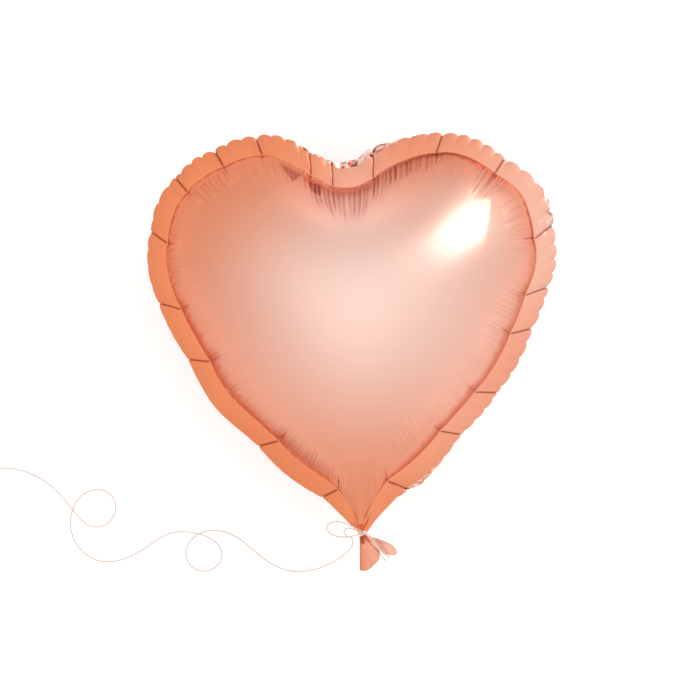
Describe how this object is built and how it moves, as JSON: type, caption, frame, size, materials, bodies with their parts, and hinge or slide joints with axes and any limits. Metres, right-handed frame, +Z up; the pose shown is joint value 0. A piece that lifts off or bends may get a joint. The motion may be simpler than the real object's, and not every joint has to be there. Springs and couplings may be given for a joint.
{
  "type": "heart-shaped foil balloon",
  "caption": "Inflated heart-shaped foil balloon: two crowned film panels sealed at a flat rim, a neck tied with twine above two tail flaps, and a free length of twine.",
  "frame": {"origin": "middle of the flat patch that the back panel rests on", "axes": "+Z up out of the front panel, +Y towards the heart's lobes, +X to the right seen from the front, tail towards -Y"},
  "size_m": [0.5505, 0.4039, 0.165],
  "materials": {
    "foil": "metallised film, mirror gloss, rose gold",
    "valve_film": "translucent film",
    "twine": "two-ply twisted twine, cream and peach"
  },
  "bodies": {
    "balloon": {"front_foil_panel": "foil", "back_foil_panel": "foil", "valve_front_film": "valve_film", "valve_back_film": "valve_film", "neck_wraps": "twine", "knot": "twine", "bow_loop": "twine", "short_end_left": "twine", "short_end_right": "twine", "string": "twine", "string_coil": "twine", "coil_tie": "twine"},
    "front_flap": {"front_tail_flap": "foil"},
    "back_flap": {"back_tail_flap": "foil"}
  },
  "joints": [
    {"name": "front_flap_bend", "type": "hinge", "parent": "balloon", "child": "front_flap", "pos_m": [0, -0.2136, 0.0835], "axis": [-1, 0, 0], "range_deg": [0, 75], "stiffness_Nm_per_rad": 0.002},
    {"name": "back_flap_bend", "type": "hinge", "parent": "balloon", "child": "back_flap", "pos_m": [0, -0.2136, 0.0799], "axis": [0.515, 0.8572, 0], "range_deg": [0, 60], "stiffness_Nm_per_rad": 0.002}
  ]
}
